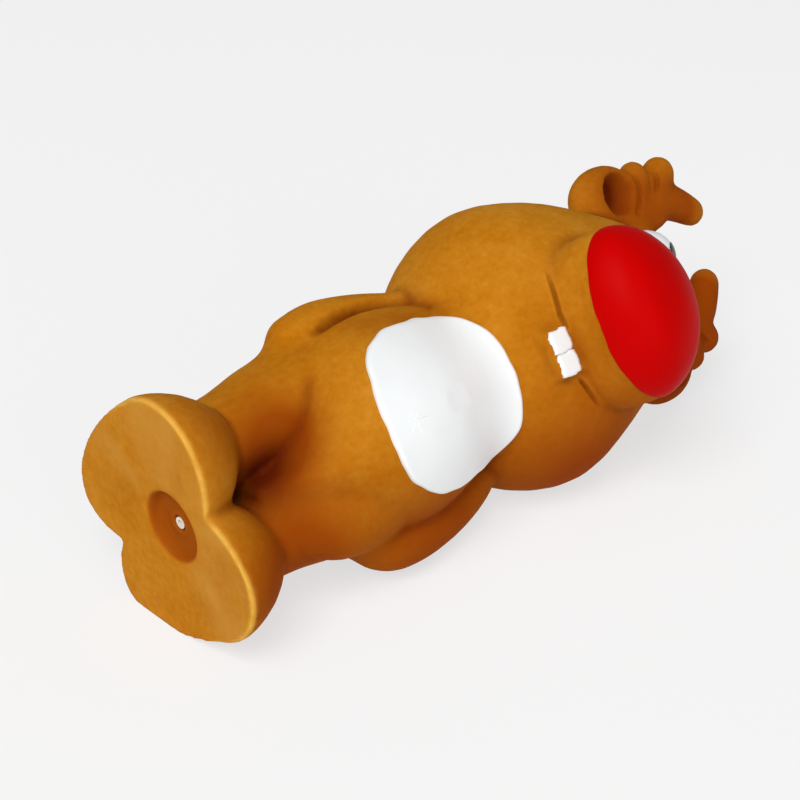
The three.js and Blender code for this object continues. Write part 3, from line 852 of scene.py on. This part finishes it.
# The belly patch: a pad of white paint over a raised oval on the belly, with a thick soft lip. Its
# top runs over the neck's valley onto the chin. A few fine scratches cross like a star.
patch_middle = Vector((0, -60, 67))
patch_outline = [
    (-0.9, 45.6), (3.5, 45.9), (8.5, 46.7), (12.2, 48.4), (15.9, 52.0), (18.6, 56.2), (20.4, 63.8),
    (20.2, 70.8), (19.6, 79.0), (18.4, 84.0), (16.5, 87.0), (12.2, 88.2), (6.8, 88.7), (1.7, 88.9),
    (-4.0, 88.8), (-10.0, 87.8), (-14.4, 85.9), (-16.4, 83.0), (-18.8, 76.8), (-20.6, 68.3),
    (-21.2, 62.3), (-20.3, 57.1), (-18.3, 52.8), (-14.1, 49.2), (-9.7, 47.1), (-5.8, 45.8),
]
outline_turn = np.array([math.atan2(x, patch_middle.z - z) for x, z in patch_outline])
outline_reach = np.array([math.hypot(x, z - patch_middle.z) for x, z in patch_outline])

# The patch's rings, from its edge inward: the share of its size, how far the ring rises above the
# skin, and how freely the smoothing moves it.
patch_points = 160
patch_rings = (
    (1.0, -0.5, 0),
    (0.997, 0.1, 0),
    (0.99, 0.6, 0),
    (0.975, 0.95, 0),
    (0.955, 1.05, 0),
    (0.93, 0.98, 0.25),
    (0.9, 0.9, 0.5),
    (0.86, 1.38, 0.75),
    (0.82, 1.38, 1),
    (0.77, 1.38, 0.8),
    (0.72, 1.38, 0.8),
    (0.66, 1.38, 0.6),
    (0.6, 1.38, 0.6),
    (0.53, 1.38, 0.45),
    (0.46, 1.38, 0.45),
    (0.38, 1.38, 0.35),
    (0.3, 1.38, 0.25),
    (0.2, 1.38, 0.2),
    (0.1, 1.38, 0.2),
    (0.02, 1.38, 0.2),
)


def patch_edge(angle):
    """How far the patch reaches from its middle at an angle from straight down."""
    return float(np.interp(angle, outline_turn, outline_reach, period=2 * math.pi))


bpy.ops.object.select_all(action="DESELECT")
bpy.ops.mesh.primitive_circle_add(vertices=patch_points, radius=1)
patch = bpy.context.object
patch.name = "white_belly_patch"
for spot in patch.data.vertices:
    angle = math.atan2(spot.co.x, -spot.co.y)
    wave = 1 + 0.004 * math.sin(5 * angle + 1) + 0.004 * math.sin(13 * angle) + 0.003 * math.sin(23 * angle)
    reach = sum(patch_edge(angle + shift) for shift in (-0.08, -0.04, 0, 0.04, 0.08)) / 5 * wave
    spot.co = (math.sin(angle) * reach, patch_middle.y, patch_middle.z - math.cos(angle) * reach)
edit_all()
for (low, *_), (high, *_) in zip(patch_rings, patch_rings[1:]):
    bpy.ops.mesh.extrude_region_move(TRANSFORM_OT_translate={"value": (0, 0, 0)})
    bpy.ops.transform.resize(value=(high / low, 1, high / low), center_override=patch_middle)
bpy.ops.mesh.edge_face_add()
bpy.ops.mesh.select_all(action="SELECT")
bpy.ops.mesh.normals_make_consistent(inside=False)
finish_edit()

# The flat pad is laid onto the skin, raised ring by ring, and smoothed inside its lip.
standing_skin = skin.copy()
standing_skin.data = skin.data.copy()
bpy.context.collection.objects.link(standing_skin)
standing_skin.data.transform((in_metres @ lie).inverted())
add_modifier(
    patch, "SHRINKWRAP", target=standing_skin, wrap_method="PROJECT", use_project_y=True,
    use_project_z=False, use_positive_direction=True, use_negative_direction=False,
)
inside = patch.vertex_groups.new(name="inside")
normals = [spot.normal.copy() for spot in patch.data.vertices]
for index, spot in enumerate(patch.data.vertices):
    _, rise, freedom = patch_rings[index // patch_points]
    outward = normals[index] if normals[index].y < 0 else -normals[index]
    spot.co += outward * rise
    if freedom:
        inside.add([index], freedom, "REPLACE")
add_modifier(patch, "SMOOTH", factor=0.5, iterations=200, vertex_group="inside")
add_modifier(
    patch, "SHRINKWRAP", target=standing_skin, wrap_method="NEAREST_SURFACEPOINT", wrap_mode="OUTSIDE",
    offset=0.6, vertex_group="inside",
)
add_modifier(patch, "SMOOTH", factor=0.5, iterations=14, vertex_group="inside")
patch.vertex_groups.clear()
add_modifier(patch, "SUBSURF", levels=1, render_levels=1)
bpy.data.objects.remove(standing_skin)

star_x, star_z = -0.75, 53.2
scratches = []
for across, up in ((-3.2, 52.2), (-1.9, 55.2), (-0.1, 56.7), (-0.4, 51.0), (1.8, 50.8), (2.9, 53.3)):
    track = []
    for share, girth in ((0.05, 0.14), (0.5, 0.2), (1.0, 0.05)):
        x, z = star_x + share * (across - star_x), star_z + share * (up - star_z)
        nearest = min(patch.data.vertices, key=lambda spot: (spot.co.x - x) ** 2 + (spot.co.z - z) ** 2)
        track.append((x, nearest.co.y, z, girth))
    scratches.append(finger("scratch", track, capped=False))
choose(patch, *scratches)
bpy.ops.object.join()

dull_white = (0.895, 0.915, 0.92)
clear_white = (0.93, 0.95, 0.955)
white, white_surface, at = finish_of("white_paint", 0.4)
feed(white_surface, "Base Color", at.noise(70, 3).steps((0.3, dull_white), (0.7, clear_white)))
feed(white_surface, "Roughness", 0.36 + 0.12 * at.noise(110, 3))
feed(white_surface, "Normal", at.noise(230, 3).bump(0.15, 0.0005))
patch.data.materials.append(white)
lay_down(patch, "figure", ["belly_patch"])


# The teeth: two dabs of white paint on the block below the snout, with ragged edges. They meet
# in a thin line.
teeth_y = -31.9
teeth_z = 99.5
tooth_depth = 3.2
tooth_height = 6.0
squareness = 7
for name, low, high in (("right_tooth", -4.3, 1.58), ("left_tooth", 1.66, 7.5)):
    middle = Vector(((low + high) / 2, teeth_y, teeth_z))
    half = Vector(((high - low) / 2, tooth_depth / 2, tooth_height / 2))
    bpy.ops.object.select_all(action="DESELECT")
    bpy.ops.mesh.primitive_cube_add(size=1)
    tooth = bpy.context.object
    tooth.name = name + "_paint"
    edit_all()
    bpy.ops.transform.resize(value=2 * half)
    bpy.ops.mesh.subdivide(number_cuts=9)
    bpy.ops.transform.translate(value=middle)
    finish_edit()
    for spot in tooth.data.vertices:
        across, deep, up = [(place - centre) / size for place, centre, size in zip(spot.co, middle, half)]
        outermost = max(abs(across), abs(up))
        rounded = (abs(across) ** squareness + abs(up) ** squareness + 1e-9) ** (1 / squareness)
        corner = max(rounded / max(outermost, 0.05), 1)
        edge = outermost**6
        across, up = across / corner, up / corner
        across += edge * (0.05 * math.sin(5.1 * up + low) + 0.03 * math.sin(11 * up))
        up += edge * (0.05 * math.sin(4.3 * across + 1.4 * low) + 0.03 * math.sin(13 * across))
        spot.co = middle + Vector((across * half.x, (deep + 0.12 * edge) * half.y, up * half.z))
    tooth.data.materials.append(white)
    lay_down(tooth, "figure", [name])


# The eyes: two bulging ovals of white paint on the forehead, half sunk in the skin, side by side.
# They meet in a thin line.
eye_half_sizes = (7.9, 7.5, 9.4)
eye_x, eye_y, eye_z = 7.2, -19.1, 147.3
eye_seam = 0.05


def eye_dab(name, side, half_sizes, cut_place, cut_facing):
    """A dab of paint at one eye: an oval ball, cut off flat."""
    dab = oval_ball(half_sizes, (side * eye_x, eye_y, eye_z), around=64, rows=40)
    dab.name = name + "_paint"
    edit_all()
    bpy.ops.mesh.bisect(plane_co=cut_place, plane_no=cut_facing, clear_inner=True, use_fill=True)
    finish_edit()
    return dab


for side, name in ((-1, "right_eye"), (1, "left_eye")):
    eye = eye_dab(name, side, eye_half_sizes, (side * eye_seam, 0, 0), (side, 0, 0))
    eye.data.materials.append(white)
    lay_down(eye, "figure", [name])


# The pupils: small round dabs of black paint on the eyes, looking up. Each is cut from a ball that
# is larger than the eye by the thickness of its coat.
pupil_coat = 0.2
pupil_cut = 7.75
pupil_black = (0.004, 0.004, 0.005)
pupil_grey = (0.012, 0.012, 0.014)
black, black_surface, at = finish_of("black_paint", 0.45)
feed(black_surface, "Base Color", at.noise(90, 3).steps((0.3, pupil_black), (0.7, pupil_grey)))
feed(black_surface, "Roughness", 0.35)
feed(black_surface, "Normal", at.noise(400, 2).bump(0.06, 0.0003))
for side, name in ((-1, "right_pupil"), (1, "left_pupil")):
    gaze = Vector((-side * 0.15, -0.80, 0.58))
    cut_place = Vector((side * eye_x, eye_y, eye_z)) + gaze * pupil_cut
    pupil = eye_dab(name, side, [half + pupil_coat for half in eye_half_sizes], cut_place, gaze)
    pupil.data.materials.append(black)
    lay_down(pupil, "figure", [name])


# The squeaker: a cup of white plastic with a nozzle, its lid, the barrel and the clip are moulded
# parts that were dimensioned in CAD. They show in their own finish.
plastic, plastic_surface, at = finish_of("white_plastic", 0.5)
cloud = at.noise(160, 3)
feed(plastic_surface, "Base Color", cloud.steps((0.3, (0.76, 0.70, 0.58)), (0.7, (0.86, 0.82, 0.72))))
feed(plastic_surface, "Roughness", 0.36 + 0.14 * cloud)
feed(plastic_surface, "Normal", at.noise(900, 2).bump(0.05, 0.0002))
for name in ("squeaker_housing", "squeaker_cap", "reed_barrel", "reed_clip"):
    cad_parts[name].material_slots[0].material = plastic


# The reed: a thin tongue of clear yellowish film that was dimensioned in CAD and is held by the
# clip. It shows in its own finish too.
film, film_surface, at = finish_of("reed_film", 0.5)
feed(film_surface, "Base Color", at.noise(300, 2).steps((0.3, (0.74, 0.66, 0.42)), (0.7, (0.82, 0.75, 0.52))))
feed(film_surface, "Roughness", 0.25)
feed(film_surface, "Normal", at.noise(700, 2).bump(0.04, 0.0002))
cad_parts["squeaker_reed"].material_slots[0].material = film
